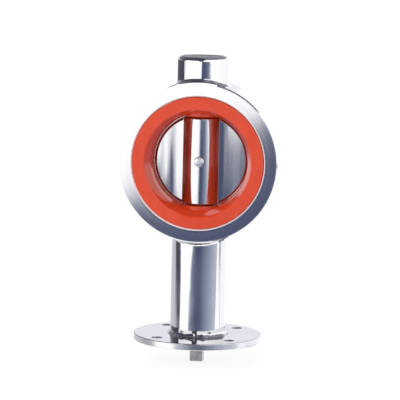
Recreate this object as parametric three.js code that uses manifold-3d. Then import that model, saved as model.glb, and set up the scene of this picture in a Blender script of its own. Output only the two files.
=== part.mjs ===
// Wafer butterfly valve, DN65, bare stem: a polished stainless body ring lined with a silicone seat, a disc
// that makes a quarter turn on a through stem, a blind boss on one side, and on the other side a neck with an
// actuator flange.
// Millimetres. The origin is where the pipe axis (Y) crosses the stem axis (Z); +Z points to the blind boss.
import * as THREE from "three";
import { mergeVertices } from "three/addons/utils/BufferGeometryUtils.js";
import Module from "manifold-3d";

const wasm = await Module();
wasm.setup();

// ---- driving dimensions ----
const GAP = 0.3; // between pieces that touch on the real valve
const BIG = 48; // facets round the pipe axis
const MID = 32; // facets round the neck, boss and hub
const SMALL = 24; // facets round the stem and what is on it

const RING_R = 54.5; // body ring, outside
const RING_HALF = 22.2; // half its width along the pipe
const RING_CHAMFER = 1;
const LIP_POCKET_R = 45; // recess in each face for the seat's lip
const LIP_POCKET_FLOOR = 17; // where that recess ends, from the middle
const WEB_R = 39.5; // ring bore behind the seat's sleeve
const KEY_GROOVE_R = 42; // groove in the bore that keys the seat
const KEY_GROOVE_HALF = 5.8;

const SEAT_HALF = 23; // the seat stands 0.8 proud of each face
const SEAT_BORE_R = 32.3; // where the disc seals
const SEAT_MOUTH_R = 36.4; // where the bore opens out at each face
const SEAT_CORNER = 1;
const PAD_Z = 30.5; // flat pads in the seat, round each stem hole
const PAD_R = 13.8;

const DISC_R = 32;
const RIM_LAND = 1.2; // half the width of the rim that seals
const BLADE_RIM = 3.1; // half the blade's thickness at the rim
const CREST = 13; // from the stem axis to the crest of the hub
const CREST_R = 10.7; // rounding of the crest
const SHOULDER = 40; // degrees of slope where the crest runs into the flatter flank
const FLANK_R = 20; // rounding of the flank
const FLANK_END = 63; // degrees of slope where the flank meets the blade in a crease
const HUB_R = 13.4; // the hub's ends are turned to this radius
const HUB_HALF = 30.1;
const HUB_END_R = 10.8; // and their chamfer reaches in to this one
const HUB_CHAMFER = 1.3;

const STEM_R = 6.3;
const STEM_TOP = 61.5; // the end in the blind boss
const STEM_END = -139.5; // the drive end
const SQUARE = 9; // drive square, across flats
const SQUARE_TOP = -125;
const STEM_HOLE_R = STEM_R + GAP;

const PIN_R = 3; // disc pin, thin end
const PIN_TAPER = 0.3; // how much more the thick end has
const PIN_HALF = CREST + 0.9;

const BOSS_R = 17.5;
const BOSS_TOP = 71.5;
const BOSS_ROUND = 3;
const HOUSING_R = 10; // bore for bushings, in the ring, the boss and the neck
const BLIND_BORE_TOP = 64.5;

const NECK_R = 19;
const FLANGE_R = 44;
const FLANGE_TOP = -120;
const FLANGE_BOTTOM = -124.5;
const FLANGE_EDGE = 0.7;
const BOLT_CIRCLE_R = 35;
const BOLT_HOLE_R = 3.5;

const FILLET = 3.4; // leg of the fillet weld on the neck and the boss
const FLANGE_FILLET = 4.2;

const BUSH_OUT_R = HOUSING_R - 0.2;
const BUSH_IN_R = STEM_R + 0.15;
const CORD_R = 0.9; // O-ring section radius
const RING_SEAL_R = STEM_R + CORD_R + 0.1; // O-ring on the stem: radius to the middle of its section
const SEAL_GROOVE_R = RING_SEAL_R + CORD_R + 0.2;
const SEAL_GROOVE_HALF = CORD_R + 0.4;

// ---- materials ----
const steel = (name, color, roughness) =>
  new THREE.MeshStandardMaterial({ name, color, roughness, metalness: 1 });
const soft = (name, color, roughness) =>
  new THREE.MeshStandardMaterial({ name, color, roughness, metalness: 0 });
const POLISHED = steel("polished_steel", 0xdfe2e8, 0.08);
const TURNED = steel("turned_steel", 0xd2d5dc, 0.25);
const STEM_STEEL = steel("stem_steel", 0xb9bbbe, 0.4);
const SPRING_STEEL = steel("spring_steel", 0x5b5f66, 0.45);
const SILICONE = soft("orange_silicone", 0xe04a2a, 0.3);
const PTFE = soft("ptfe", 0xe9e7e0, 0.55);
const RUBBER = soft("black_rubber", 0x1b1b1d, 0.6);

// ---- helpers ----
const valve = new THREE.Group();

function solid(geometry) {
  const bare = geometry.index ? geometry.toNonIndexed() : geometry.clone();
  bare.deleteAttribute("normal");
  bare.deleteAttribute("uv");
  const merged = mergeVertices(bare, 1e-4);
  const vertProperties = merged.attributes.position.array;
  const triVerts = new Uint32Array(merged.index.array);
  const made = new wasm.Manifold(new wasm.Mesh({ numProp: 3, vertProperties, triVerts }));
  if (made.volume() > 0) return made;
  for (let i = 0; i < triVerts.length; i += 3) triVerts.subarray(i, i + 3).reverse();
  return new wasm.Manifold(new wasm.Mesh({ numProp: 3, vertProperties, triVerts }));
}

function add(name, body, material) {
  const { vertProperties, triVerts } = body.getMesh();
  const geometry = new THREE.BufferGeometry()
    .setAttribute("position", new THREE.BufferAttribute(vertProperties, 3))
    .setIndex(new THREE.BufferAttribute(triVerts, 1));
  geometry.computeVertexNormals();
  const mesh = new THREE.Mesh(geometry, material);
  mesh.name = name;
  valve.add(mesh);
}

// A profile of [radius, height] points, turned about the pipe axis (Y) or the stem axis (Z).
const points = (profile) => profile.map(([r, h]) => new THREE.Vector2(r, h));
const closed = (profile) => points([...profile, profile[0]]);
const aboutY = (profile, facets = BIG) => new THREE.LatheGeometry(closed(profile), facets);
const aboutZ = (profile, facets = MID) => aboutY(profile, facets).rotateX(Math.PI / 2);
const rodZ = (radius, low, high, facets = MID) =>
  solid(new THREE.CylinderGeometry(radius, radius, high - low, facets).rotateX(Math.PI / 2)
    .translate(0, 0, (low + high) / 2));
const rodY = (radius, low, high, facets = BIG) =>
  solid(new THREE.CylinderGeometry(radius, radius, high - low, facets).translate(0, (low + high) / 2, 0));

// Points of an arc about [r, h], from one angle to another in degrees.
function arc(r, h, radius, from, to, steps) {
  return Array.from({ length: steps + 1 }, (_, i) => {
    const angle = THREE.MathUtils.degToRad(from + ((to - from) * i) / steps);
    return [r + radius * Math.cos(angle), h + radius * Math.sin(angle)];
  });
}

// The half profile for h >= 0, repeated for h <= 0.
const mirrored = (half) => [...half, ...half.map(([r, h]) => [r, -h]).reverse()];

// ---- body ----
function bodyRing() {
  const edge = 0.5; // broken edge of the lip pocket
  const half = [
    [KEY_GROOVE_R, 0],
    [KEY_GROOVE_R, KEY_GROOVE_HALF],
    [WEB_R, KEY_GROOVE_HALF],
    [WEB_R, LIP_POCKET_FLOOR],
    [LIP_POCKET_R, LIP_POCKET_FLOOR],
    [LIP_POCKET_R, RING_HALF - edge],
    [LIP_POCKET_R + edge, RING_HALF],
    [RING_R - RING_CHAMFER, RING_HALF],
    [RING_R, RING_HALF - RING_CHAMFER],
  ];
  const lower = half.slice(1).map(([r, h]) => [r, -h]).reverse();
  const ring = solid(aboutY([...half, ...lower]));
  add("body_ring", ring.subtract(rodZ(HOUSING_R, -RING_R - 5, RING_R + 5)), TURNED);
}

const barrel = rodY(RING_R + GAP, -40, 40); // what the boss and the neck are cut to sit on

function blindBoss() {
  const low = RING_R - 10;
  const rounded = arc(BOSS_R - BOSS_ROUND, BOSS_TOP - BOSS_ROUND, BOSS_ROUND, 0, 90, 4);
  const profile = [[0, low], [BOSS_R, low], ...rounded, [0, BOSS_TOP]];
  const boss = solid(new THREE.LatheGeometry(points(profile), MID).rotateX(Math.PI / 2));
  add("blind_boss", boss.subtract(barrel).subtract(rodZ(HOUSING_R, 0, BLIND_BORE_TOP)), POLISHED);
}

function neckTube() {
  const mouth = 0.6; // broken edge at the flange end
  const grooveLow = -121.8;
  const grooveHigh = -120.2;
  const profile = [
    [HOUSING_R, -RING_R + 10],
    [HOUSING_R, grooveHigh],
    [HOUSING_R + 1.2, grooveHigh],
    [HOUSING_R + 1.2, grooveLow],
    [HOUSING_R, grooveLow],
    [HOUSING_R, FLANGE_BOTTOM + mouth],
    [HOUSING_R + mouth, FLANGE_BOTTOM],
    [NECK_R, FLANGE_BOTTOM],
    [NECK_R, -RING_R + 10],
  ];
  add("neck_tube", solid(aboutZ(profile)).subtract(barrel), POLISHED);
}

function mountingFlange() {
  const profile = [
    [NECK_R + GAP, FLANGE_BOTTOM],
    [FLANGE_R - FLANGE_EDGE, FLANGE_BOTTOM],
    [FLANGE_R, FLANGE_BOTTOM + FLANGE_EDGE],
    [FLANGE_R, FLANGE_TOP - FLANGE_EDGE],
    [FLANGE_R - FLANGE_EDGE, FLANGE_TOP],
    [NECK_R + GAP, FLANGE_TOP],
  ];
  let plate = solid(aboutZ(profile, BIG));
  const hole = rodZ(BOLT_HOLE_R, FLANGE_BOTTOM - 1, FLANGE_TOP + 1, 24);
  for (const turn of [45, 135, 225, 315]) {
    const angle = THREE.MathUtils.degToRad(turn);
    const place = [BOLT_CIRCLE_R * Math.cos(angle), BOLT_CIRCLE_R * Math.sin(angle), 0];
    plate = plate.subtract(hole.translate(place));
  }
  add("mounting_flange", plate, POLISHED);
}

// A hollow fillet's section against a wall of the given radius, with a leg on the wall and one on the floor.
function filletProfile(wall, leg) {
  const r = wall + GAP;
  const size = leg - GAP;
  return [[r, GAP], [r + size, GAP], ...arc(r + size, GAP + size, size, 270, 180, 5).slice(1)];
}

// A fillet weld where a round part of the given radius stands on the barrel. side is 1 on the boss's side.
function barrelFillet(name, wall, side) {
  const geometry = new THREE.LatheGeometry(closed(filletProfile(wall, FILLET)), MID).rotateX(Math.PI / 2);
  const place = geometry.attributes.position;
  const widest = RING_HALF - RING_CHAMFER + 0.4; // the fillet stops where the ring's chamfer begins
  for (let i = 0; i < place.count; i++) {
    const x = place.getX(i);
    const y = THREE.MathUtils.clamp(place.getY(i), -widest, widest);
    const floor = Math.sqrt(RING_R ** 2 - x ** 2);
    place.setXYZ(i, x, y, side * (floor + place.getZ(i)));
  }
  add(name, solid(geometry), POLISHED);
}

function flangeFillet() {
  const geometry = aboutZ(filletProfile(NECK_R, FLANGE_FILLET)).translate(0, 0, FLANGE_TOP);
  add("flange_weld_fillet", solid(geometry), POLISHED);
}

// ---- seat ----
function seatLiner() {
  const clear = GAP;
  const lipR = LIP_POCKET_R - clear;
  const sleeveR = WEB_R - clear;
  const keyR = KEY_GROOVE_R - clear;
  const keyHalf = KEY_GROOVE_HALF - clear;
  const lipBack = LIP_POCKET_FLOOR + clear;
  const mouthR = SEAT_MOUTH_R + SEAT_CORNER;
  const straight = 8; // half length of the cylindrical middle of the bore
  const half = [
    [SEAT_BORE_R, 0],
    [SEAT_BORE_R, straight],
    [33.1, 13.5],
    [34.6, 18.5],
    ...arc(mouthR, SEAT_HALF - SEAT_CORNER, SEAT_CORNER, 180, 90, 2),
    [lipR - 0.8, SEAT_HALF],
    [lipR, SEAT_HALF - 0.8],
    [lipR, lipBack],
    [sleeveR, lipBack],
    [sleeveR, keyHalf],
    [keyR, keyHalf],
  ];
  const lower = half.slice(1).map(([r, h]) => [r, -h]).reverse();
  let seat = solid(aboutY([...half, ...lower]));
  for (const [low, high] of [[PAD_Z, SEAT_BORE_R + 3], [-SEAT_BORE_R - 3, -PAD_Z]]) {
    seat = seat.add(rodZ(PAD_R, low, high));
  }
  add("seat_liner", seat.subtract(rodZ(STEM_HOLE_R, -50, 50, SMALL)), SILICONE);
}

// ---- disc, stem and pin ----
function disc() {
  const shoulder = THREE.MathUtils.degToRad(SHOULDER);
  const inward = CREST_R - FLANK_R; // from the crest's centre to the flank's, along the shoulder's normal
  const flankX = inward * Math.sin(shoulder);
  const flankY = CREST - CREST_R + inward * Math.cos(shoulder);
  const quarter = [
    [DISC_R + 1, BLADE_RIM],
    [18, 3.5],
    [14.6, 3.75],
    ...arc(flankX, flankY, FLANK_R, 90 - FLANK_END, 90 - SHOULDER, 3),
    ...arc(0, CREST - CREST_R, CREST_R, 90 - SHOULDER, 90, 4).slice(1),
  ];
  const upper = [...quarter, ...quarter.slice(0, -1).map(([x, y]) => [-x, y]).reverse()];
  const section = new THREE.Shape(points([...upper, ...upper.map(([x, y]) => [x, -y]).reverse()]));
  const long = { depth: 2 * HUB_HALF, bevelEnabled: false };
  const bar = solid(new THREE.ExtrudeGeometry(section, long).translate(0, 0, -HUB_HALF));
  const rim = [[0, -5.2], [29, -5.2], [DISC_R, -RIM_LAND], [DISC_R, RIM_LAND], [29, 5.2], [0, 5.2]];
  const ends = [[0, -HUB_HALF], [HUB_END_R, -HUB_HALF], [HUB_R, -HUB_HALF + HUB_CHAMFER],
    [HUB_R, HUB_HALF - HUB_CHAMFER], [HUB_END_R, HUB_HALF], [0, HUB_HALF]];
  const blade = bar.intersect(solid(new THREE.LatheGeometry(points(rim), BIG)));
  const hub = bar.intersect(solid(new THREE.LatheGeometry(points(ends), MID).rotateX(Math.PI / 2)));
  const body = blade.add(hub)
    .subtract(rodZ(STEM_R + 0.2, -HUB_HALF - 1, HUB_HALF + 1, SMALL))
    .subtract(pinShape(GAP, 2));
  add("disc", body, POLISHED);
}

// The tapered disc pin along the pipe axis, or the hole for it when grown and lengthened.
function pinShape(grow, longer) {
  const half = PIN_HALF + longer;
  const dome = 0.9;
  const thin = PIN_R + grow;
  const thick = thin + PIN_TAPER;
  const profile = [[0, -half], [thin * 0.6, -half + 0.25], [thin, -half + dome], [thick, half - dome],
    [thick * 0.6, half - 0.25], [0, half]];
  return solid(new THREE.LatheGeometry(points(profile), 24));
}

const CLIP_LOW = -119.9; // the stem's circlip groove
const CLIP_HIGH = -118.6;
const CLIP_GROOVE_R = STEM_R - 0.6;

function stem() {
  const lead = 0.8;
  const profile = [
    [0, STEM_END],
    [STEM_R - lead, STEM_END],
    [STEM_R, STEM_END + lead],
    [STEM_R, CLIP_LOW],
    [CLIP_GROOVE_R, CLIP_LOW],
    [CLIP_GROOVE_R, CLIP_HIGH],
    [STEM_R, CLIP_HIGH],
    [STEM_R, STEM_TOP - lead],
    [STEM_R - lead, STEM_TOP],
    [0, STEM_TOP],
  ];
  const rod = solid(new THREE.LatheGeometry(points(profile), SMALL).rotateX(Math.PI / 2));
  const drive = new THREE.BoxGeometry(SQUARE, SQUARE, SQUARE_TOP - STEM_END + 2)
    .translate(0, 0, (SQUARE_TOP + STEM_END - 2) / 2);
  const round = rodZ(STEM_R + 1, SQUARE_TOP, STEM_TOP + 1, SMALL);
  add("stem", rod.intersect(round.add(solid(drive))).subtract(pinShape(0.2, 2)), STEM_STEEL);
}

// ---- bushings, seals and retainers ----
// A plain bushing, with a groove inside it for an O-ring and, where asked for, one outside it.
function bushing(name, low, high, insideSeal, outsideSeal) {
  const edge = 0.6;
  const grooveIn = [
    [BUSH_IN_R, insideSeal + SEAL_GROOVE_HALF],
    [SEAL_GROOVE_R, insideSeal + SEAL_GROOVE_HALF],
    [SEAL_GROOVE_R, insideSeal - SEAL_GROOVE_HALF],
    [BUSH_IN_R, insideSeal - SEAL_GROOVE_HALF],
  ];
  const floor = BUSH_OUT_R - 2 * CORD_R - 0.2;
  const grooveOut = outsideSeal === undefined ? [] : [
    [BUSH_OUT_R, outsideSeal - SEAL_GROOVE_HALF],
    [floor, outsideSeal - SEAL_GROOVE_HALF],
    [floor, outsideSeal + SEAL_GROOVE_HALF],
    [BUSH_OUT_R, outsideSeal + SEAL_GROOVE_HALF],
  ];
  const profile = [
    [BUSH_IN_R, high],
    ...grooveIn,
    [BUSH_IN_R, low],
    [BUSH_OUT_R - edge, low],
    [BUSH_OUT_R, low + edge],
    ...grooveOut,
    [BUSH_OUT_R, high - edge],
    [BUSH_OUT_R - edge, high],
  ];
  add(name, solid(aboutZ(profile, SMALL)), PTFE);
}

function oRing(name, radius, z) {
  add(name, solid(new THREE.TorusGeometry(radius, CORD_R, 6, SMALL).translate(0, 0, z)), RUBBER);
}

function flatRing(name, inner, outer, low, high, material) {
  add(name, solid(aboutZ([[inner, low], [outer, low], [outer, high], [inner, high]], SMALL)), material);
}

// A circlip: a ring with a gap and two eyed lugs, whose centres are at the radius lugR.
function circlip(name, inner, outer, low, thickness, lugR) {
  const open = THREE.MathUtils.degToRad(24);
  const shape = new THREE.Shape();
  shape.absarc(0, 0, outer, open, 2 * Math.PI - open, false);
  shape.absarc(0, 0, inner, 2 * Math.PI - open, open, true);
  const bend = { depth: thickness, bevelEnabled: false, curveSegments: SMALL };
  let clip = solid(new THREE.ExtrudeGeometry(shape, bend));
  const eye = rodZ(0.45, -1, thickness + 1, 10);
  for (const side of [-1, 1]) {
    const place = [lugR * Math.cos(open * 1.25), side * lugR * Math.sin(open * 1.25), 0];
    clip = clip.add(rodZ(1.25, 0, thickness, 16).translate(place)).subtract(eye.translate(place));
  }
  add(name, clip.translate([0, 0, low]), SPRING_STEEL);
}

function stemSupport() {
  bushing("blind_end_bushing", 42.4, 61, 48);
  bushing("inner_neck_bushing", -62.4, -42.4, -48);
  bushing("outer_neck_bushing", -116.6, -95, -101, -110);
  oRing("blind_end_o_ring", RING_SEAL_R, 48);
  oRing("inner_neck_o_ring", RING_SEAL_R, -48);
  oRing("outer_neck_o_ring", RING_SEAL_R, -101);
  oRing("bushing_o_ring", BUSH_OUT_R - CORD_R - 0.05, -110);
  flatRing("thrust_washer", STEM_R + 0.25, BUSH_OUT_R, -118.1, -116.9, SPRING_STEEL);
  circlip("stem_circlip", CLIP_GROOVE_R + 0.15, 8.2, CLIP_LOW + 0.2, 0.9, 7.3);
  circlip("bushing_circlip", 9, 11, -121.5, 1, 9.1);
  flatRing("wiper_seal", STEM_R + 0.15, HOUSING_R - 0.2, -124.2, -122, RUBBER);
  add("thrust_pad", rodZ(HOUSING_R - 0.3, STEM_TOP + 0.3, BLIND_BORE_TOP - 0.3, SMALL), PTFE);
}

bodyRing();
blindBoss();
neckTube();
mountingFlange();
barrelFillet("boss_weld_fillet", BOSS_R, 1);
barrelFillet("neck_weld_fillet", NECK_R, -1);
flangeFillet();
seatLiner();
disc();
stem();
add("disc_pin", pinShape(0, 0), STEM_STEEL);
stemSupport();

export default valve;
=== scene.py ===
"""Looks of the wafer butterfly valve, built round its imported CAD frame.

Metres, in the CAD frame: +Z along the stem to the blind boss, Y along the pipe, the seen face at -Y.
"""

import math

import bpy
from mathutils import Matrix, Vector, noise
from mathutils.geometry import tessellate_polygon


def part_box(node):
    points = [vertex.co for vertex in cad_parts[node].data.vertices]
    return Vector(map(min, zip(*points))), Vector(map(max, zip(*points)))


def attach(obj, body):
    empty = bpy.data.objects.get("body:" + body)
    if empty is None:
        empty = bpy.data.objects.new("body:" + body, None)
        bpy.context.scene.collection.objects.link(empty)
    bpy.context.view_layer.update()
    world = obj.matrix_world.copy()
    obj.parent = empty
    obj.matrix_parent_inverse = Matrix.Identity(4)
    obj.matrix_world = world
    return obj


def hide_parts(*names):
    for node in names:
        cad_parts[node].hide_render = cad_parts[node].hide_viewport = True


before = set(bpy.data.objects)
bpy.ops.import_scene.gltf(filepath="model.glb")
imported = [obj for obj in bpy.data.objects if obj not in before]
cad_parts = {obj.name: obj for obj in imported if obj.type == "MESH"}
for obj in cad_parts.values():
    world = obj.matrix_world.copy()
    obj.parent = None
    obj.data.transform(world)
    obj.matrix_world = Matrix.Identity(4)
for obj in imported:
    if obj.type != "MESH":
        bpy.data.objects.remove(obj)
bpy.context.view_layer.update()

# ---- driving dimensions ----
MM = 0.001
GAP = 0.3 * MM  # kept between pieces that touch on the real valve
FINE = 256  # segments round the pipe axis and the flange
ROUND = 160  # segments round the neck, boss, hub and stem


def half_size(node):
    """Half a CAD node's size along each axis, which is a radius where the node is round."""
    low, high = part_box(node)
    return (high - low) / 2


RING_R, RING_HALF = half_size("body_ring").x, half_size("body_ring").y
RING_BREAK = 0.9 * MM  # chamfer on the ring's outer edges
SEAT_R, SEAT_HALF = half_size("seat_liner").x, half_size("seat_liner").y
POCKET_R = SEAT_R + GAP
POCKET_FLOOR = 17 * MM
POCKET_BREAK = 0.9 * MM  # chamfer round the seat's lip
WEB_R = 39.5 * MM
KEY_R = 42 * MM
KEY_HALF = 5.8 * MM
SEAT_BORE_R = 32.3 * MM
SEAT_MOUTH_R = 36.4 * MM
SEAT_CORNER = 1 * MM
PAD_Z = 30.5 * MM
PAD_R = 13.8 * MM
DISC_R, HUB_HALF = half_size("disc").x, half_size("disc").z
CREST = half_size("disc").y  # from the stem axis to the crest of the hub
STEM_R = half_size("stem").x
STEM_HOLE_R = STEM_R + GAP
STEM_END, STEM_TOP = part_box("stem")[0].z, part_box("stem")[1].z
SQUARE = 9 * MM
SQUARE_TOP = -125 * MM
PIN_R, PIN_HALF = half_size("disc_pin").x, half_size("disc_pin").y
BOSS_R, BOSS_TOP = half_size("blind_boss").x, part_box("blind_boss")[1].z
BLIND_BORE_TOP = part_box("thrust_pad")[1].z + GAP
NECK_R = half_size("neck_tube").x
HOUSING_R = 10 * MM
FLANGE_R = half_size("mounting_flange").x
FLANGE_BOTTOM, FLANGE_TOP = (corner.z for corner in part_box("mounting_flange"))
BOLT_CIRCLE_R = 35 * MM
BOLT_HOLE_R = 3.5 * MM
BARREL_R = RING_R + GAP  # what the boss and the neck are cut to sit on
BELOW_BARREL = 10 * MM  # how far inside the ring their outlines start, before that cut
RUNNING_GAP = 0.15 * MM  # between the stem and what it turns in
ON_AXIS = 1e-9  # metres: a point this near to the axis of a turned shape lies on it
BORE_STEP = 1.2 * MM  # longest face of a turned shape that has a hole along the stem axis
MERGE_GRID = 1e7  # steps in a metre: points on the same step are one point


# ---- shells: (points, faces, a normal for each corner of each face) ----
def right_of(direction):
    return Vector((direction.y, -direction.x))


def outline(corners, closed=True, steps=6):
    """Points (r, h, normal r, normal h) along straight lines whose corners (r, h, radius) are rounded.

    The outline runs with the solid on its left.
    """
    made = []
    count = len(corners)
    for i, (r, h, radius) in enumerate(corners):
        here = Vector((r, h))
        into = here - Vector(corners[i - 1][:2])
        onward = Vector(corners[(i + 1) % count][:2]) - here
        if not closed and i in (0, count - 1):
            side = right_of((onward if i == 0 else into).normalized())
            made.append((r, h, side.x, side.y))
            continue
        into.normalize()
        onward.normalize()
        turn = math.atan2(into.x * onward.y - into.y * onward.x, into.dot(onward))
        sign = 1 if turn > 0 else -1
        start = here - into * (radius * math.tan(abs(turn) / 2))
        side = right_of(into)
        centre = start - side * radius * sign
        bends = max(2, round(steps * abs(turn) / (math.pi / 2)))
        for k in range(bends + 1):
            normal = side.copy()
            normal.rotate(Matrix.Rotation(turn * k / bends, 2))
            point = centre + normal * radius * sign
            made.append((point.x, point.y, normal.x, normal.y))
    return made


def subdivided(profile, step):
    """A closed outline with points added, so that no two neighbours are further apart than a step."""
    made = []
    for here, onward in zip(profile, profile[1:] + profile[:1]):
        parts = max(1, math.ceil(math.dist(here[:2], onward[:2]) / step))
        for k in range(parts):
            made.append(tuple(a + (b - a) * k / parts for a, b in zip(here, onward)))
    return made


def lathe(profile, axis="z", segments=ROUND, closed=True, bend=None, bore=0):
    """Turns an outline about the Z or the Y axis. bend moves each point.

    bore is the radius of a hole along the stem axis, whose faces are left out.
    """
    upright = axis == "z"
    if bore:
        profile = subdivided(profile, BORE_STEP)
    points, rows = [], []
    for r, h, _, _ in profile:
        turns = 1 if r < ON_AXIS else segments
        row = len(points)
        for i in range(turns):
            angle = 2 * math.pi * i / segments
            x, y = r * math.cos(angle), r * math.sin(angle)
            point = Vector((x, y, h)) if upright else Vector((x, h, -y))
            points.append(bend(point) if bend else point)
        rows.append([row + (i % turns) for i in range(segments)])
    faces, normals = [], []
    count = len(profile)
    for j in range(count if closed else count - 1):
        k = (j + 1) % count
        for i in range(segments):
            n = (i + 1) % segments
            corners = [(i, j), (n, j), (n, k), (i, k)]
            face = [rows[b][a] for a, b in corners]
            if bore and any(math.hypot(points[p].x, points[p].y) < bore for p in face):
                continue
            spun = []
            for a, b in corners:
                angle = 2 * math.pi * a / segments
                nr, nh = profile[b][2:]
                x, y = nr * math.cos(angle), nr * math.sin(angle)
                spun.append((x, y, nh) if upright else (x, nh, -y))
            kept = [c for c in range(4) if face[c] != face[c - 1]]
            faces.append([face[c] for c in kept])
            normals.append([spun[c] for c in kept])
    return points, faces, normals


def sheet_of(rows, wrap=False):
    """A smooth surface through a grid of points; wrap joins the last column to the first."""
    high, wide = len(rows), len(rows[0])

    def at(j, i):
        return rows[min(max(j, 0), high - 1)][i % wide if wrap else min(max(i, 0), wide - 1)]

    flat = [point for row in rows for point in row]
    slopes = [
        [(at(j, i + 1) - at(j, i - 1)).cross(at(j + 1, i) - at(j - 1, i)).normalized() for i in range(wide)]
        for j in range(high)
    ]
    faces, normals = [], []
    for j in range(high - 1):
        for i in range(wide if wrap else wide - 1):
            n = (i + 1) % wide
            corners = [(j, i), (j, n), (j + 1, n), (j + 1, i)]
            faces.append([b * wide + a for b, a in corners])
            normals.append([slopes[b][a] for b, a in corners])
    return flat, faces, normals


def plate(loops, z, up):
    """A flat face at height z between closed loops of (x, y) points, the first of them the outer one."""
    lines = [[Vector((x, y, z)) for x, y in loop] for loop in loops]
    flat = [point for line in lines for point in line]
    normal = (0, 0, 1 if up else -1)
    faces = []
    for a, b, c in tessellate_polygon(lines):
        rising = (flat[b] - flat[a]).cross(flat[c] - flat[a]).z > 0
        faces.append([a, b, c] if rising == up else [a, c, b])
    return flat, faces, [[normal] * 3 for _ in faces]


def moved(shell, offset):
    points, faces, normals = shell
    return [point + Vector(offset) for point in points], faces, normals


def circle(radius, segments, centre=(0, 0)):
    angles = [2 * math.pi * i / segments for i in range(segments)]
    return [(centre[0] + radius * math.cos(a), centre[1] + radius * math.sin(a)) for a in angles]


def make(node, shells, material, body="valve_body"):
    """One piece from shells, whose points are merged where they meet. It stands for a CAD node."""
    places, points, faces, normals = {}, [], [], []
    for shell_points, shell_faces, shell_normals in shells:
        index = []
        for point in shell_points:
            key = tuple(round(c * MERGE_GRID) for c in point)
            if key not in places:
                places[key] = len(points)
                points.append(point)
            index.append(places[key])
        for face, corner_normals in zip(shell_faces, shell_normals):
            merged = [index[i] for i in face]
            kept = [c for c in range(len(merged)) if merged[c] != merged[c - 1]]
            if len(kept) > 2:
                faces.append([merged[c] for c in kept])
                normals.extend(corner_normals[c] for c in kept)
    mesh = bpy.data.meshes.new(node + "_surface")
    mesh.from_pydata(points, [], faces)
    mesh.polygons.foreach_set("use_smooth", [True] * len(faces))
    mesh.normals_split_custom_set([tuple(n) for n in normals])
    mesh.materials.append(material)
    piece = bpy.data.objects.new(node + "_fine", mesh)
    bpy.context.scene.collection.objects.link(piece)
    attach(piece, body)
    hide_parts(node)
    return piece


# ---- materials ----
NOISE_LOW, NOISE_HIGH = 0.3, 0.7  # most of a noise's values lie between these
MASK_EDGE = 0.02 * MM  # the small steps by which a mask's limits differ from its bevel's


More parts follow.
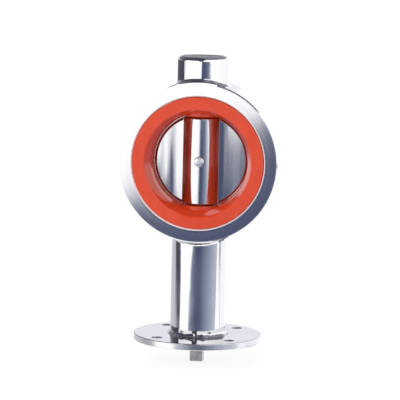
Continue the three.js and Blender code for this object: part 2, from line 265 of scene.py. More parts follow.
class Finish:
    """A node material: a Principled shader and short calls that add nodes to it."""

    def __init__(self, name, color, metallic, roughness):
        self.material = bpy.data.materials.new(name)
        self.material.use_nodes = True
        self.tree = self.material.node_tree
        self.shader = self.tree.nodes["Principled BSDF"]
        self.set("Base Color", (*color, 1))
        self.set("Metallic", metallic)
        self.set("Roughness", roughness)

    def set(self, socket, value):
        self.shader.inputs[socket].default_value = value

    def node(self, kind, **settings):
        made = self.tree.nodes.new(kind)
        for key, value in settings.items():
            setattr(made, key, value)
        return made

    def link(self, source, target):
        self.tree.links.new(source, target)

    def place(self, stretch):
        """Object coordinates times a stretch for each axis."""
        source = self.node("ShaderNodeTexCoord").outputs["Object"]
        scaled = self.node("ShaderNodeVectorMath", operation="MULTIPLY")
        self.link(source, scaled.inputs[0])
        scaled.inputs[1].default_value = stretch
        return scaled.outputs[0]

    def math(self, operation, first, second=0):
        made = self.node("ShaderNodeMath", operation=operation)
        for socket, value in zip(made.inputs, (first, second)):
            if hasattr(value, "is_linked"):
                self.link(value, socket)
            else:
                socket.default_value = value
        return made.outputs[0]

    def noise(self, vector, scale, detail=3.0):
        made = self.node("ShaderNodeTexNoise")
        made.inputs["Scale"].default_value = scale
        made.inputs["Detail"].default_value = detail
        self.link(vector, made.inputs["Vector"])
        return made.outputs["Fac"]

    def spread(self, value, low, high):
        """Maps the middle of a noise's range to low..high."""
        made = self.node("ShaderNodeMapRange")
        made.inputs["From Min"].default_value = NOISE_LOW
        made.inputs["From Max"].default_value = NOISE_HIGH
        made.inputs["To Min"].default_value = low
        made.inputs["To Max"].default_value = high
        self.link(value, made.inputs["Value"])
        return made.outputs["Result"]

    def rough(self, value, low, high):
        self.link(self.spread(value, low, high), self.shader.inputs["Roughness"])

    def bumps(self, *layers):
        """Bump layers of (height, depth in metres), one on another."""
        below = None
        for height, depth in layers:
            bump = self.node("ShaderNodeBump")
            bump.inputs["Strength"].default_value = 1.0
            bump.inputs["Distance"].default_value = depth
            self.link(height, bump.inputs["Height"])
            if below is not None:
                self.link(below, bump.inputs["Normal"])
            below = bump.outputs["Normal"]
        self.link(below, self.shader.inputs["Normal"])

    def tint(self, value, first, second):
        """Base colour from one colour to another over the middle of a noise's range."""
        ramp = self.node("ShaderNodeValToRGB")
        ramp.color_ramp.elements[0].position = NOISE_LOW
        ramp.color_ramp.elements[1].position = NOISE_HIGH
        ramp.color_ramp.elements[0].color = (*first, 1)
        ramp.color_ramp.elements[1].color = (*second, 1)
        self.link(value, ramp.inputs["Fac"])
        self.link(ramp.outputs["Color"], self.shader.inputs["Base Color"])

    def paint_shade_and_highlight(self, factor, color):
        """Mixes a colour into the base colour where the factor is 1: painted shade and painted highlights."""
        mix = self.node("ShaderNodeMix", data_type="RGBA")
        self.link(factor, mix.inputs["Factor"])
        self.link(self.shader.inputs["Base Color"].links[0].from_socket, mix.inputs["A"])
        mix.inputs["B"].default_value = (*color, 1)
        self.link(mix.outputs["Result"], self.shader.inputs["Base Color"])

    def rougher(self, factor, extra):
        """Adds to the roughness where the factor is 1."""
        plain = self.shader.inputs["Roughness"].links[0].from_socket
        more = self.math("MULTIPLY", factor, extra)
        self.link(self.math("ADD", plain, more), self.shader.inputs["Roughness"])

    def between(self, value, low, high):
        """1 where a value lies between two limits, and 0 elsewhere."""
        over = self.math("GREATER_THAN", value, low)
        return self.math("MULTIPLY", over, self.math("LESS_THAN", value, high))

    def radius(self, axis):
        """Distance from the pipe axis or the stem axis."""
        flat = self.place((1, 0, 1) if axis == "y" else (1, 1, 0))
        length = self.node("ShaderNodeVectorMath", operation="LENGTH")
        self.link(flat, length.inputs[0])
        return length.outputs["Value"]

    def grooves(self, value, per_metre):
        """A noise that only changes with one value, such as the radius: turning marks."""
        made = self.node("ShaderNodeTexNoise", noise_dimensions="1D")
        made.inputs["Scale"].default_value = per_metre
        made.inputs["Detail"].default_value = 4.0
        self.link(value, made.inputs["W"])
        return made.outputs["Fac"]


STEEL = (0.63, 0.63, 0.645)
STEEL_WARM = (0.6, 0.595, 0.6)
PIN_RING_SHADE = (0.06, 0.055, 0.06)  # painted shade: the dark ring round the pin
PAINTED_BEVEL_HIGHLIGHT = (0.93, 0.93, 0.95)  # painted highlight: the near-white colour given to the ring's bevels
BEVEL_HIGHLIGHT_END = 12 * MM  # the ring's outer bevel is rough and carries the painted highlight up to this x
RIM_BAND = 0.6 * MM  # the flange's rim, with its rounded edges


def polished_steel():
    """Mirror polish: slow waviness, fine lines round the part, faint smears."""
    finish = Finish("polished_steel", STEEL, 1.0, 0.05)
    everywhere = finish.place((1, 1, 1))
    waves = finish.noise(finish.place((1, 1, 0.3)), 38, 1.0)
    lines = finish.noise(finish.place((30, 30, 900)), 1.0, 2.0)
    smears = finish.noise(everywhere, 90, 4.0)
    finish.tint(smears, STEEL_WARM, STEEL)
    finish.rough(smears, 0.035, 0.09)
    rim = finish.math("GREATER_THAN", finish.radius("z"), FLANGE_R - RIM_BAND)
    finish.rougher(rim, 0.16)  # the flange's rim, taken to be less polished than its faces
    finish.bumps((waves, 0.0005), (lines, 0.0000012))
    return finish.material


def turned_steel():
    """Polished, with faint turning marks round the pipe axis."""
    finish = Finish("turned_steel", STEEL, 1.0, 0.06)
    marks = finish.grooves(finish.radius("y"), 2600)
    bands = finish.grooves(finish.radius("y"), 200)
    smears = finish.noise(finish.place((1, 1, 1)), 45, 2.0)
    finish.tint(smears, STEEL_WARM, STEEL)
    finish.rough(bands, 0.045, 0.075)
    chamfer = finish.between(finish.radius("y"), RING_R - RING_BREAK + MASK_EDGE, RING_R - MASK_EDGE)
    finish.rougher(chamfer, 0.05)
    # The photograph has a bright line under the seat's lip and a pale edge on the ring's left. Both are a
    # painted highlight:
    # the two bevels are painted near-white, rough and non-metallic for that, which is a guess.
    side = finish.node("ShaderNodeSeparateXYZ")
    finish.link(finish.place((1, 1, 1)), side.inputs[0])
    matt_highlight = finish.math("MULTIPLY", chamfer, finish.math("LESS_THAN", side.outputs["X"], BEVEL_HIGHLIGHT_END))
    lip = finish.between(finish.radius("y"), POCKET_R + MASK_EDGE, POCKET_R + POCKET_BREAK + 2 * MASK_EDGE)
    matt_highlight = finish.math("MAXIMUM", matt_highlight, lip)
    finish.paint_shade_and_highlight(matt_highlight, PAINTED_BEVEL_HIGHLIGHT)
    finish.rougher(matt_highlight, 0.5)
    finish.link(finish.math("SUBTRACT", 1, matt_highlight), finish.shader.inputs["Metallic"])
    finish.bumps((marks, 0.0000004), (smears, 0.000006))
    return finish.material


def disc_steel():
    """Polished, with fine lines that run along the stem."""
    finish = Finish("disc_steel", STEEL, 1.0, 0.07)
    lines = finish.noise(finish.place((1500, 1500, 14)), 1.0, 3.0)
    streaks = finish.noise(finish.place((260, 260, 9)), 1.0, 2.0)
    waves = finish.noise(finish.place((1, 1, 0.4)), 60, 1.0)
    finish.tint(streaks, STEEL_WARM, STEEL)
    # Painted shade: a thin dark ring on the disc round the pin, where the two meet.
    pin_ring_shade_mask = finish.between(finish.radius("y"), PIN_R - 0.1 * MM, PIN_R + GAP)
    finish.paint_shade_and_highlight(pin_ring_shade_mask, PIN_RING_SHADE)
    finish.rough(streaks, 0.05, 0.16)
    finish.bumps((waves, 0.00007), (lines, 0.0000022))
    return finish.material


def weld_steel():
    """A weld, dressed and polished: smooth, but never flat."""
    finish = Finish("weld_steel", STEEL, 1.0, 0.08)
    ripples = finish.noise(finish.place((1, 1, 1)), 260, 2.0)
    lumps = finish.noise(finish.place((1, 1, 1)), 90, 1.0)
    finish.tint(lumps, STEEL_WARM, STEEL)
    finish.rough(ripples, 0.05, 0.16)
    finish.bumps((lumps, 0.0014), (ripples, 0.0003))
    return finish.material


def pin_steel():
    """Bright ground steel."""
    finish = Finish("pin_steel", (0.8, 0.8, 0.8), 1.0, 0.3)
    grain = finish.noise(finish.place((1, 1, 1)), 900, 3.0)
    finish.tint(grain, (0.9, 0.9, 0.91), (0.98, 0.98, 0.98))
    finish.rough(grain, 0.26, 0.36)
    finish.bumps((grain, 0.000003))
    return finish.material


def stem_steel():
    """Ground bar, dull grey, with grinding lines across the flats."""
    finish = Finish("stem_steel", (0.44, 0.435, 0.43), 0.85, 0.42)
    lines = finish.noise(finish.place((60, 60, 2600)), 1.0, 3.0)
    patches = finish.noise(finish.place((1, 1, 1)), 260, 4.0)
    finish.tint(patches, (0.4, 0.395, 0.385), (0.49, 0.485, 0.475))
    finish.rough(patches, 0.34, 0.5)
    finish.bumps((lines, 0.000006))
    return finish.material


def orange_silicone():
    """Moulded silicone: a soft gloss, a fine mould texture and a little light let in."""
    finish = Finish("orange_silicone", (0.61, 0.05, 0.013), 0.0, 0.26)
    skin = finish.noise(finish.place((1, 1, 1)), 2600, 3.0)
    slow = finish.noise(finish.place((1, 1, 1)), 60, 2.0)
    finish.tint(slow, (0.58, 0.044, 0.011), (0.64, 0.057, 0.016))
    finish.rough(slow, 0.21, 0.31)
    mouth_start = SEAT_BORE_R + 0.3 * MM
    mouth = finish.between(finish.radius("y"), mouth_start, SEAT_MOUTH_R + SEAT_CORNER)
    finish.rougher(mouth, -0.13)  # the mouth, taken to be glossier than the lip
    finish.bumps((slow, 0.00012), (skin, 0.000004))
    finish.set("Subsurface Weight", 0.12)
    finish.set("Subsurface Radius", (0.004, 0.0012, 0.0006))
    finish.set("Subsurface Scale", 1.0)
    return finish.material


def spring_steel():
    """Phosphated spring steel, nearly black."""
    finish = Finish("spring_steel", (0.11, 0.115, 0.125), 0.9, 0.42)
    grain = finish.noise(finish.place((1, 1, 1)), 1800, 3.0)
    finish.tint(grain, (0.09, 0.094, 0.1), (0.13, 0.135, 0.145))
    finish.rough(grain, 0.36, 0.5)
    finish.bumps((grain, 0.000005))
    return finish.material


def ptfe():
    """White PTFE with turning marks."""
    finish = Finish("ptfe", (0.8, 0.79, 0.75), 0.0, 0.5)
    clouds = finish.noise(finish.place((1, 1, 1)), 300, 3.0)
    finish.tint(clouds, (0.76, 0.75, 0.71), (0.83, 0.82, 0.79))
    finish.rough(clouds, 0.44, 0.58)
    finish.bumps((finish.noise(finish.place((10, 10, 3000)), 1.0, 2.0), 0.000006))
    return finish.material


def black_rubber():
    """Black rubber with the fine grain of its mould."""
    finish = Finish("black_rubber", (0.013, 0.013, 0.014), 0.0, 0.5)
    grain = finish.noise(finish.place((1, 1, 1)), 2200, 3.0)
    finish.tint(grain, (0.01, 0.01, 0.011), (0.018, 0.018, 0.019))
    finish.rough(grain, 0.42, 0.6)
    finish.bumps((grain, 0.00001))
    return finish.material


POLISHED = polished_steel()
TURNED = turned_steel()
DISC_STEEL = disc_steel()
WELD = weld_steel()
STEM_STEEL = stem_steel()
PIN_STEEL = pin_steel()
SILICONE = orange_silicone()
SPRING = spring_steel()
PTFE = ptfe()
RUBBER = black_rubber()


# ---- body ----
def body_ring():
    edge, inner_edge = 0.12 * MM, 0.2 * MM
    front = [
        (KEY_R, -KEY_HALF, inner_edge),
        (WEB_R, -KEY_HALF, inner_edge),
        (WEB_R, -POCKET_FLOOR, inner_edge),
        (POCKET_R, -POCKET_FLOOR, inner_edge),
        (POCKET_R, -RING_HALF + POCKET_BREAK, edge),
        (POCKET_R + POCKET_BREAK, -RING_HALF, edge),
        (RING_R - RING_BREAK, -RING_HALF, edge),
        (RING_R, -RING_HALF + RING_BREAK, edge),
    ]
    back = [(r, -h, radius) for r, h, radius in reversed(front)]
    shell = lathe(outline(front + back), "y", FINE, bore=HOUSING_R)
    make("body_ring", [shell], TURNED)


def on_barrel(side):
    """Moves points that lie past the barrel onto it. side is 1 above the pipe axis and -1 below."""

    def bend(point):
        floor = math.sqrt(BARREL_R**2 - point.x**2)
        return Vector((point.x, point.y, side * max(side * point.z, floor)))

    return bend


def blind_boss():
    inside = RING_R - BELOW_BARREL
    foot_edge, top_edge, bore_edge = 0.05 * MM, 3.1 * MM, 0.3 * MM
    profile = outline(
        [
            (HOUSING_R, inside, 0),
            (BOSS_R, inside, foot_edge),
            (BOSS_R, BOSS_TOP, top_edge),
            (0, BOSS_TOP, 0),
        ],
        closed=False,
        steps=14,
    )
    bore = outline(
        [(0, BLIND_BORE_TOP, 0), (HOUSING_R, BLIND_BORE_TOP, bore_edge), (HOUSING_R, inside, 0)],
        closed=False,
    )
    shells = [lathe(line, closed=False, bend=on_barrel(1)) for line in (profile, bore)]
    make("blind_boss", shells, POLISHED)


def neck_tube():
    inside = -RING_R + BELOW_BARREL
    groove_low, groove_high, groove_r = -121.8 * MM, -120.2 * MM, HOUSING_R + 1.2 * MM  # for a circlip
    mouth = 0.6 * MM  # bevel where the bore opens
    edge, outer_edge = 0.1 * MM, 0.25 * MM
    profile = outline(
        [
            (HOUSING_R, inside, edge),
            (HOUSING_R, groove_high, edge),
            (groove_r, groove_high, edge),
            (groove_r, groove_low, edge),
            (HOUSING_R, groove_low, edge),
            (HOUSING_R, FLANGE_BOTTOM + mouth, edge),
            (HOUSING_R + mouth, FLANGE_BOTTOM, edge),
            (NECK_R, FLANGE_BOTTOM, outer_edge),
            (NECK_R, inside, edge),
        ]
    )
    make("neck_tube", [lathe(profile, bend=on_barrel(-1))], POLISHED)


def mounting_flange():
    edge = 0.5 * MM
    hole_edge = 0.35 * MM
    hole_facets = 64
    rim = outline(
        [(NECK_R, FLANGE_BOTTOM, 0), (FLANGE_R, FLANGE_BOTTOM, edge), (FLANGE_R, FLANGE_TOP, edge),
         (NECK_R, FLANGE_TOP, 0)],
        closed=False,
    )[1:-1]
    wall_r = NECK_R + GAP
    inner = [(wall_r, FLANGE_TOP, -1, 0), (wall_r, FLANGE_BOTTOM, -1, 0)]
    shells = [lathe(rim, segments=FINE, closed=False), lathe(inner, segments=ROUND, closed=False)]
    hole = outline(
        [(2 * BOLT_HOLE_R, FLANGE_TOP, 0), (BOLT_HOLE_R, FLANGE_TOP, hole_edge),
         (BOLT_HOLE_R, FLANGE_BOTTOM, hole_edge), (2 * BOLT_HOLE_R, FLANGE_BOTTOM, 0)],
        closed=False,
    )[1:-1]
    places = [
        (BOLT_CIRCLE_R * math.cos(a), BOLT_CIRCLE_R * math.sin(a))
        for a in (math.radians(45 + 90 * i) for i in range(4))
    ]
    for x, y in places:
        shells.append(moved(lathe(hole, segments=hole_facets, closed=False), (x, y, 0)))
    loops = [circle(FLANGE_R - edge, FINE), circle(wall_r, ROUND)]
    loops += [circle(BOLT_HOLE_R + hole_edge, hole_facets, place) for place in places]
    shells += [plate(loops, FLANGE_TOP, True), plate(loops, FLANGE_BOTTOM, False)]
    make("mounting_flange", shells, POLISHED)


FILLET = 3.4 * MM  # leg of the weld on the boss and the neck
FLANGE_FILLET = 3.4 * MM  # leg of the weld on the flange
FILLET_LUMPS, FLANGE_LUMPS = 0.25 * MM, 1.1 * MM  # how far their size wanders
SINK = 0.12 * MM  # how far a bead is sunk into what it joins
SLOW, FAST, FAST_SHARE = 4, 13, 0.7  # how quickly the two noises change round a bead, and the second's weight


def bead(wall, leg, lumps, seed, floor):
    """Rows of points over a fillet bead, from its toe on the floor up to the wall.

    floor turns a place and a height above the floor into a point.
    """
    rows = []
    across = 14  # faces from the toe to the wall
    for j in range(across + 1):
        row = []
        for i in range(FINE):
            angle = 2 * math.pi * i / FINE
            swing = Vector((math.cos(angle), math.sin(angle), 0))
            ripple = noise.noise(Vector((swing.x * SLOW, swing.y * SLOW, seed)))
            fine = noise.noise(Vector((swing.x * FAST, swing.y * FAST, seed + 5)))
            size = leg + lumps * (ripple + FAST_SHARE * fine)
            bow = math.radians(270 - 90 * j / across)
            r = wall + size + size * math.cos(bow) - SINK
            h = size + size * math.sin(bow) - SINK
            row.append(floor(swing * r, h))
        rows.append(row)
    return rows


def barrel_weld(node, wall, side, seed):
    widest = RING_HALF - RING_BREAK - 0.1 * MM  # the bead stays off the ring's bevels

    def floor(point, height):
        y = max(-widest, min(widest, point.y))
        return Vector((point.x, y, side * (math.sqrt(RING_R**2 - point.x**2) + height)))

    rows = bead(wall, FILLET, FILLET_LUMPS, seed, floor)
    if side < 0:
        rows.reverse()
    make(node, [sheet_of(rows, wrap=True)], WELD)


def flange_weld():
    def floor(point, height):
        return Vector((point.x, point.y, FLANGE_TOP + height))

    rows = bead(NECK_R, FLANGE_FILLET, FLANGE_LUMPS, 3.0, floor)
    make("flange_weld_fillet", [sheet_of(rows, wrap=True)], WELD)


# ---- seat ----
THROAT_R, THROAT_HALF, THROAT_BEND = 33.3 * MM, 14 * MM, 12 * MM  # where the mouth turns into the bore
LAND_HALF, LAND_BEND = 6 * MM, 20 * MM  # and where the bore runs straight


def seat_liner():
    hidden_edge, lip_edge = 0.3 * MM, 0.5 * MM
    front = [
        (KEY_R - GAP, -KEY_HALF + GAP, hidden_edge),
        (WEB_R - GAP, -KEY_HALF + GAP, hidden_edge),
        (WEB_R - GAP, -POCKET_FLOOR - GAP, hidden_edge),
        (SEAT_R, -POCKET_FLOOR - GAP, hidden_edge),
        (SEAT_R, -SEAT_HALF, lip_edge),
        (SEAT_MOUTH_R, -SEAT_HALF, SEAT_CORNER),
        (THROAT_R, -THROAT_HALF, THROAT_BEND),
        (SEAT_BORE_R, -LAND_HALF, LAND_BEND),
    ]
    back = [(r, -h, radius) for r, h, radius in reversed(front)]
    # The outline has to run with the solid on its left, so these corners are taken in reverse.
    profile = outline((front + back)[::-1], steps=9)
    shells = [lathe(profile, "y", FINE, bore=STEM_HOLE_R)]
    pad_depth = 3 * MM  # from the bore back into the liner
    pad_edge, buried_edge, hole_edge = 0.7 * MM, 0.05 * MM, 0.3 * MM
    for side in (1, -1):
        low, high = sorted((side * PAD_Z, side * (SEAT_BORE_R + pad_depth)))
        low_edge, high_edge = (pad_edge, buried_edge)[::side]
        pad = outline(
            [(STEM_HOLE_R, low, hole_edge), (PAD_R, low, low_edge), (PAD_R, high, high_edge),
             (STEM_HOLE_R, high, hole_edge)]
        )
        shells.append(lathe(pad))
    make("seat_liner", shells, SILICONE)


# ---- disc, stem and pin ----
RIM_LAND = 1.2 * MM  # half the width of the rim that seals
RIM_BEVEL = 1.4  # slope of the bevel that leads to it
RIM_SOFT = 0.4 * MM  # rounding of that bevel
BLADE_RIM = 3.15 * MM  # half thickness of the blade at the rim
BLADE_SLOPE = math.tan(math.radians(0.4))  # it thickens from the rim towards the hub
BLADE_TILT = 0.0095  # and from right to left
WAVE_X, WAVE_SLOPE, WAVE_LENGTH = -20 * MM, 0.024, 3.4 * MM  # a shallow rise and hollow in the left lobe
THINNING = 0.2  # per metre: times the height squared, what the blade loses towards its top and bottom
THIN_FROM, THIN_OVER = 10 * MM, 8 * MM  # where that starts, and how far out it is whole
CREASE = 12 * MM  # from the stem axis to where the hub's flank meets the blade
CREASE_SOFT = 0.35 * MM  # rounding of the crease
FLANK_PAST = 1.5 * MM  # the flank is looked at this far past the crease
SWELL, SWELL_LENGTH = 0.3 * MM, 1.7 * MM  # the blade swells towards the crease
CREST_R = 10.7 * MM  # rounding of the hub's crest
SHOULDER = math.radians(40)  # slope where the crest runs into the flatter flank
FLANK_R = 20 * MM  # rounding of the flank
HUB_R = 13.4 * MM  # the hub's ends are turned to this radius
HUB_END_R = 10.8 * MM  # and their chamfer reaches in to this one
HUB_CHAMFER = 1.3 * MM
HUB_SOFT = 0.5 * MM  # rounding where those ends meet the section


def rounded_min(first, second, soft):
    """The smaller of two values, with the corner between them rounded where they differ by less than soft."""
    apart = max(soft - abs(first - second), 0) / soft
    return min(first, second) - apart**2 * soft / 4


def rounded_max(first, second, soft):
    return -rounded_min(-first, -second, soft)


def polished_blade(x):
    """Half thickness of the blade. Its tilt and its wave are guesses that make it mirror what is seen."""
    near = abs(x)
    even = BLADE_RIM + BLADE_SLOPE * (DISC_R - near) + SWELL * math.exp((CREASE - near) / SWELL_LENGTH)
    off = x - WAVE_X
    return even - BLADE_TILT * x - WAVE_SLOPE * off * math.exp(-((off / WAVE_LENGTH) ** 2))


def section(x):
    """Half thickness of the disc along a cut across the stem: round crest, flatter flank, crease, blade."""
    near = abs(x)
    if near < CREST_R * math.sin(SHOULDER):
        return CREST - CREST_R + math.sqrt(CREST_R**2 - near**2)
    if near > CREASE + FLANK_PAST:
        return polished_blade(x)
    inward = CREST_R - FLANK_R
    flank = CREST - CREST_R + inward * math.cos(SHOULDER)
    flank += math.sqrt(FLANK_R**2 - (near - inward * math.sin(SHOULDER)) ** 2)
    return rounded_max(flank, polished_blade(x), CREASE_SOFT)


def disc_half(x, z):
    """Half thickness of the disc: its section, cut by the bevel of the rim and by the hub's turned ends."""
    whole = section(x)
    out = min(max((abs(x) - THIN_FROM) / THIN_OVER, 0), 1)
    bevel = RIM_LAND + RIM_BEVEL * (DISC_R - math.hypot(x, z))
    blade = rounded_min(whole - THINNING * out * z**2, bevel, RIM_SOFT)
    past = (abs(z) - HUB_HALF + HUB_CHAMFER) / HUB_CHAMFER
    reach = HUB_R - max(past, 0) * (HUB_R - HUB_END_R)
    if past > 1 or abs(x) >= reach:
        return blade
    return max(blade, rounded_min(whole, math.sqrt(reach**2 - x**2), HUB_SOFT))


def disc():
    """Two faces on a grid that follows the round outline, and the rim between them."""
    turns = 180  # faces each way
    step = 0.03 * MM  # half the distance over which a slope is taken
    top = HUB_HALF - 0.02 * MM  # the disc is cut flat at this height
    heights, slopes, places = [], [], []
    for j in range(turns + 1):
        for i in range(turns + 1):
            across, along = (math.pi * (k / turns - 0.5) for k in (i, j))
            x, z = DISC_R * math.sin(across), DISC_R * math.cos(across) * math.sin(along)
            places.append((x, z))
            heights.append(disc_half(x, z))
            slopes.append((
                (disc_half(x + step, z) - disc_half(x - step, z)) / (2 * step),
                (disc_half(x, z + step) - disc_half(x, z - step)) / (2 * step),
            ))
    wide = turns + 1
    quads = []
    for j in range(turns):
        for i in range(turns):
            quads.append([j * wide + i, j * wide + i + 1, (j + 1) * wide + i + 1, (j + 1) * wide + i])
    shells = []
    for side in (-1, 1):
        points = [Vector((x, side * h, max(-top, min(top, z)))) for (x, z), h in zip(places, heights)]
        normals = [Vector((-fall_x, side, -fall_z)).normalized() for fall_x, fall_z in slopes]
        faces = quads if side < 0 else [quad[::-1] for quad in quads]
        shells.append((points, faces, [[normals[p] for p in face] for face in faces]))
    loop = list(range(wide)) + [turns * wide + i for i in range(turns, -1, -1)]
    points, faces, normals = [], [], []
    for spot in loop:
        x, z = places[spot]
        for side in (-1, 1):
            points.append(Vector((x, side * heights[spot], max(-top, min(top, z)))))
    for k in range(len(loop)):
        n = (k + 1) % len(loop)
        faces.append([2 * k + 1, 2 * n + 1, 2 * n, 2 * k])
        near, far = (Vector((places[loop[c]][0], 0, places[loop[c]][1])).normalized() for c in (k, n))
        normals.append([near, far, far, near])
    shells.append((points, faces, normals))
    make("disc", shells, DISC_STEEL, "disc_and_stem")


def stem():
    low_edge, top_edge = 0.5 * MM, 0.8 * MM
    rod = outline(
        [(0, SQUARE_TOP, 0), (STEM_R, SQUARE_TOP, low_edge), (STEM_R, STEM_TOP, top_edge), (0, STEM_TOP, 0)],
        closed=False,
    )
    corner, bends = 0.5 * MM, 6  # rounding of the square's corners, and its facets
    lead = 0.6 * MM  # rounding of its end
    overlap = 1 * MM  # how far the square runs up into the rod

    def square(half, z):
        corners = [(1, 1), (-1, 1), (-1, -1), (1, -1)]
        line = []
        for i, (x, y) in enumerate(corners):
            for k in range(bends + 1):
                angle = math.pi / 2 * (i + k / bends)
                bow = Vector((math.cos(angle), math.sin(angle))) * corner
                line.append(Vector((x * (half - corner) + bow.x, y * (half - corner) + bow.y, z)))
        return line

    half = SQUARE / 2
    levels = [(half - lead, STEM_END), (half - lead / 4, STEM_END + lead / 4), (half, STEM_END + lead),
              (half, SQUARE_TOP + overlap)]
    rows = [square(size, z) for size, z in levels]
    end = [(point.x, point.y) for point in rows[0]]
    shells = [lathe(rod, closed=False), sheet_of(rows, wrap=True), plate([end], STEM_END, False)]
    make("stem", shells, STEM_STEEL, "disc_and_stem")


def disc_pin():
    """The pin with a low crown at each end, flat in the middle."""
    edge, crown, facets = 0.3 * MM, 0.25 * MM, 64
    flat_r = 0.4 * PIN_R
    shoulder = PIN_HALF - crown
    profile = outline(
        [(0, -PIN_HALF, 0), (flat_r, -PIN_HALF, edge), (PIN_R, -shoulder, edge), (PIN_R, shoulder, edge),
         (flat_r, PIN_HALF, edge), (0, PIN_HALF, 0)],
        closed=False,
        steps=10,
    )
    shell = lathe(profile, "y", facets, closed=False)
    make("disc_pin", [shell], PIN_STEEL, "disc_and_stem")


def wiper_seal():
    low, high = (corner.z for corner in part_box("wiper_seal"))
    outer = half_size("wiper_seal").x
    inner = STEM_R + RUNNING_GAP
    lip, edge = 0.5 * MM, 0.2 * MM
    profile = outline([(inner, low, lip), (outer, low, edge), (outer, high, edge), (inner, high, edge)])
    make("wiper_seal", [lathe(profile)], RUBBER)


def hidden_pieces():
    """The CAD pieces inside the neck and the boss keep their shape and get their material."""
    finishes = {
        PTFE: ["blind_end_bushing", "inner_neck_bushing", "outer_neck_bushing", "thrust_pad"],
        RUBBER: ["blind_end_o_ring", "inner_neck_o_ring", "outer_neck_o_ring", "bushing_o_ring"],
        SPRING: ["thrust_washer", "stem_circlip", "bushing_circlip"],
    }
    for material, nodes in finishes.items():
        for node in nodes:
            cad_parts[node].data.materials.clear()
            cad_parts[node].data.materials.append(material)


# ---- studio ----
CAMERA_AZIMUTH, CAMERA_ELEVATION = 6.83, 6.03  # degrees from the front towards +X, and up
CAMERA_DISTANCE = 1.536  # metres, from the origin
CAMERA_ROLL = 1.35  # degrees
CAMERA_LENS, CAMERA_FILM = 201.7, 36  # millimetres
CAMERA_CLIP = 0.1, 20
AIM = Vector((-0.3 * MM, 0, -27.6 * MM))


def camera():
    azimuth, elevation = math.radians(CAMERA_AZIMUTH), math.radians(CAMERA_ELEVATION)
    flat = math.cos(elevation)
    away = Vector((math.sin(azimuth) * flat, -math.cos(azimuth) * flat, math.sin(elevation)))
    data = bpy.data.cameras.new("camera")
    data.lens = CAMERA_LENS
    data.sensor_width = CAMERA_FILM
    data.clip_start, data.clip_end = CAMERA_CLIP
    made = bpy.data.objects.new("camera", data)
    place = away * CAMERA_DISTANCE
    turn = (AIM - place).to_track_quat("-Z", "Y").to_matrix()
    roll = Matrix.Rotation(math.radians(CAMERA_ROLL), 3, "Z")
    made.matrix_world = Matrix.Translation(place) @ (turn @ roll).to_4x4()
    bpy.context.scene.collection.objects.link(made)
    bpy.context.scene.camera = made


# The studio as the steel mirrors it: pale walls with dark gaps. The photograph doesn't show the room, so
# these values were chosen until the steel looked as it does there. At each azimuth, in degrees from
# the front towards +X, a gap reaches from a lower to an upper elevation.
GAPS = [
    (-180, -5.2, 4.6), (-168, -5.5, 4.6), (-158, -5.5, -1), (-118, -6.5, 1), (-110, -7.8, -1),
    (-104, -9.4, -1.5), (-95, -10.1, -2), (-90, -10.8, -3), (-84, -11.4, -6), (-80, -11.6, -7.5),
    (-76, -11.4, -8.2), (-72, -9, -9), (-60, -30, -30), (-41, -30, -30), (-36, -34, -10.6), (-31, -36, -9.6),
    (-19, -40, -8.4), (-9.5, -40, -7.6), (-7, -40, -6), (-4.5, -40, -4.4), (1, -40, -2.4), (10, -40, -1),
    (22, -40, -1.4), (31, -40, -2.6), (45, -40, -4.2), (60, -40, -6), (80, -36, -6), (84, -7.5, -5),
    (90, -7, -5), (94, -6.6, -6), (97, -8.9, -8.2), (105, -8.7, -7.6), (110, -8, -7.8), (114, -40, -14),
    (150, -40, -14), (156, -30, -30), (180, -30, -30),
]
# Above these elevations hangs a dark ceiling.
CEILING = [
    (-180, 16), (-130, 10), (-100, 0), (-82, 0), (-77, 14), (-17, 14), (-12, -1), (3, -1), (10, 30),
    (20, 44), (55, 44), (64, 41), (100, 41), (130, 30), (180, 16),
]
# Above these elevations the gap is hazy, which leaves one patch of haze, at azimuths from -6 to -0.5.
HAZE = [(-180, 40), (-6.2, 40), (-5.3, -7.6), (-2, -7.6), (-0.5, 40), (180, 40)]
# Paler streaks across the gap: the middle of each, half its height and how strong it is.
STREAKS = [(-9.3, 0.2, 0.2), (-10.6, 0.5, 0.1)]
STREAK_COLOR = (0.7, 0.76, 0.94)
HAZE_COLOR = (0.34, 0.355, 0.44)
# How soft the edges are, in degrees: a gap's lower and upper edge, the haze's, the ceiling's and a streak's.
LOW_SOFT, HIGH_SOFT, HAZE_SOFT, CEILING_SOFT, STREAK_SOFT = 1.2, 0.3, 0.8, 1.5, 0.1
# Colours of the gaps, the walls and the ceiling by azimuth, from left to right.
GAP_COLORS = [
    (-180, (0.2, 0.2, 0.24)), (-92, (0.09, 0.09, 0.12)), (-50, (0.2, 0.22, 0.3)), (-28, (0.27, 0.31, 0.42)),
    (-8, (0.12, 0.145, 0.25)), (2, (0.09, 0.115, 0.21)), (14, (0.12, 0.14, 0.25)), (32, (0.26, 0.31, 0.44)),
    (55, (0.46, 0.53, 0.68)), (80, (0.75, 0.8, 0.92)), (88, (0.2, 0.2, 0.26)), (180, (0.3, 0.31, 0.38)),
]
WALL_COLORS = [
    (-180, (1.04, 1.02, 1.1)), (-160, (1.0, 0.98, 1.06)), (-140, (0.84, 0.83, 0.9)),
    (-105, (0.82, 0.8, 0.86)), (-95, (1.0, 0.98, 1.04)), (-70, (1.7, 1.7, 1.72)), (60, (1.7, 1.7, 1.72)),
    (120, (1.5, 1.5, 1.56)), (180, (1.3, 1.28, 1.36)),
]
CEILING_COLORS = [
    (-180, (0.35, 0.35, 0.4)), (-120, (0.2, 0.2, 0.24)), (-90, (0.09, 0.09, 0.12)), (0, (0.09, 0.09, 0.13)),
    (40, (0.22, 0.23, 0.3)), (110, (0.3, 0.3, 0.36)), (180, (0.35, 0.35, 0.4)),
]
SKY_SPAN = 90  # degrees of elevation that the curves cover, half of them below the horizon


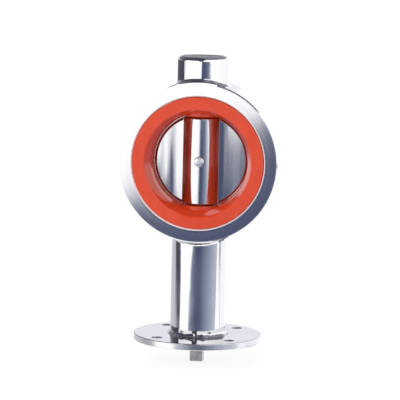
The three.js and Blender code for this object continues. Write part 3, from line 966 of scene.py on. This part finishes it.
class Studio(Finish):
    """The world's nodes. Its curves and ramps run from azimuth -180 to 180."""

    def __init__(self):
        world = bpy.data.worlds.new("studio")
        world.use_nodes = True
        bpy.context.scene.world = world
        self.tree = world.node_tree
        self.tree.nodes.clear()

    def curve(self, value, pairs):
        """The elevation at an azimuth, on straight lines through pairs of both."""
        made = self.node("ShaderNodeFloatCurve")
        line = made.mapping.curves[0]
        spots = [((azimuth + 180) / 360, level / SKY_SPAN + 0.5) for azimuth, level in pairs]
        line.points[0].location, line.points[1].location = spots[0], spots[-1]
        for spot in spots[1:-1]:
            line.points.new(*spot)
        for point in line.points:
            point.handle_type = "VECTOR"
        made.mapping.update()
        self.link(value, made.inputs["Value"])
        return self.math("MULTIPLY", self.math("SUBTRACT", made.outputs["Value"], 0.5), SKY_SPAN)

    def ramp(self, value, colors):
        """The colour at an azimuth, between pairs of azimuth and colour."""
        made = self.node("ShaderNodeValToRGB")
        elements = made.color_ramp.elements
        for azimuth, color in colors[1:-1]:
            elements.new((azimuth + 180) / 360).color = (*color, 1)
        elements[0].color = (*colors[0][1], 1)
        elements[-1].color = (*colors[-1][1], 1)
        self.link(value, made.inputs["Fac"])
        return made.outputs["Color"]

    def blend(self, factor, first, second):
        """A colour from the first to the second as the factor goes from 0 to 1."""
        made = self.node("ShaderNodeMix", data_type="RGBA")
        self.link(factor, made.inputs["Factor"])
        for name, color in (("A", first), ("B", second)):
            if hasattr(color, "is_linked"):
                self.link(color, made.inputs[name])
            else:
                made.inputs[name].default_value = (*color, 1)
        return made.outputs["Result"]

    def step(self, value, softness):
        """0 below -softness degrees and 1 above +softness."""
        made = self.node("ShaderNodeMapRange", interpolation_type="SMOOTHSTEP")
        made.inputs["From Min"].default_value = -softness
        made.inputs["From Max"].default_value = softness
        self.link(value, made.inputs["Value"])
        return made.outputs["Result"]


def studio():
    """Only mirrored rays see the walls, the gaps and the ceiling. All else is lit by plain white."""
    sky = Studio()
    place = sky.node("ShaderNodeTexCoord").outputs["Generated"]
    split = sky.node("ShaderNodeSeparateXYZ")
    sky.link(place, split.inputs[0])
    x, y, z = split.outputs
    degrees = 180 / math.pi
    azimuth = sky.math("MULTIPLY", sky.math("ARCTAN2", x, sky.math("MULTIPLY", y, -1)), degrees)
    elevation = sky.math("MULTIPLY", sky.math("ARCSINE", z), degrees)
    along = sky.math("ADD", sky.math("DIVIDE", azimuth, 360), 0.5)
    low = sky.curve(along, [(a, low) for a, low, _ in GAPS])
    high = sky.curve(along, [(a, high) for a, _, high in GAPS])
    above = sky.step(sky.math("SUBTRACT", elevation, low), LOW_SOFT)
    below = sky.step(sky.math("SUBTRACT", high, elevation), HIGH_SOFT)
    haze = sky.step(sky.math("SUBTRACT", elevation, sky.curve(along, HAZE)), HAZE_SOFT)
    over = sky.math("SUBTRACT", elevation, sky.curve(along, CEILING))
    ceiling = sky.step(over, CEILING_SOFT)
    gap_color = sky.blend(haze, sky.ramp(along, GAP_COLORS), HAZE_COLOR)
    for middle, half, strength in STREAKS:
        away = sky.math("ABSOLUTE", sky.math("SUBTRACT", elevation, middle))
        streak = sky.step(sky.math("SUBTRACT", half, away), STREAK_SOFT)
        gap_color = sky.blend(sky.math("MULTIPLY", streak, strength), gap_color, STREAK_COLOR)
    seen = sky.blend(sky.math("MULTIPLY", above, below), sky.ramp(along, WALL_COLORS), gap_color)
    seen = sky.blend(ceiling, seen, sky.ramp(along, CEILING_COLORS))
    path = sky.node("ShaderNodeLightPath")
    light = sky.node("ShaderNodeBackground")
    sky.link(sky.blend(path.outputs["Is Glossy Ray"], (1, 1, 1), seen), light.inputs["Color"])
    output = sky.node("ShaderNodeOutputWorld")
    sky.link(light.outputs["Background"], output.inputs["Surface"])


def key_light():
    """One large soft light, high on the left, which the steel doesn't mirror."""
    data = bpy.data.lights.new("key", "AREA")
    data.shape = "RECTANGLE"
    data.size, data.size_y = 0.9, 0.7
    data.energy = 7
    made = bpy.data.objects.new("key", data)
    made.location = (-0.75, -0.95, 0.85)
    made.rotation_euler = (-made.location).to_track_quat("-Z", "Y").to_euler()
    made.visible_glossy = False
    bpy.context.scene.collection.objects.link(made)


def floor():
    """A wide floor under the stem's end, mostly white by its own light. The steel doesn't mirror it."""
    finish = Finish("floor", (0.16, 0.16, 0.16), 0.0, 0.9)
    finish.set("Emission Color", (1, 1, 1, 1))
    finish.set("Emission Strength", 0.86)
    finish.set("Specular IOR Level", 0.0)
    mesh = bpy.data.meshes.new("floor")
    wide, z = 12, STEM_END - 0.2 * MM
    corners = [(-wide, -wide, z), (wide, -wide, z), (wide, wide, z), (-wide, wide, z)]
    mesh.from_pydata(corners, [], [(0, 1, 2, 3)])
    mesh.materials.append(finish.material)
    made = bpy.data.objects.new("floor", mesh)
    bpy.context.scene.collection.objects.link(made)
    made.visible_glossy = False


body_ring()
blind_boss()
neck_tube()
mounting_flange()
barrel_weld("boss_weld_fillet", BOSS_R, 1, 1.0)
barrel_weld("neck_weld_fillet", NECK_R, -1, 2.0)
flange_weld()
seat_liner()
disc()
stem()
disc_pin()
wiper_seal()
hidden_pieces()
studio()
key_light()
floor()
camera()
bpy.context.scene.view_settings.view_transform = "Standard"
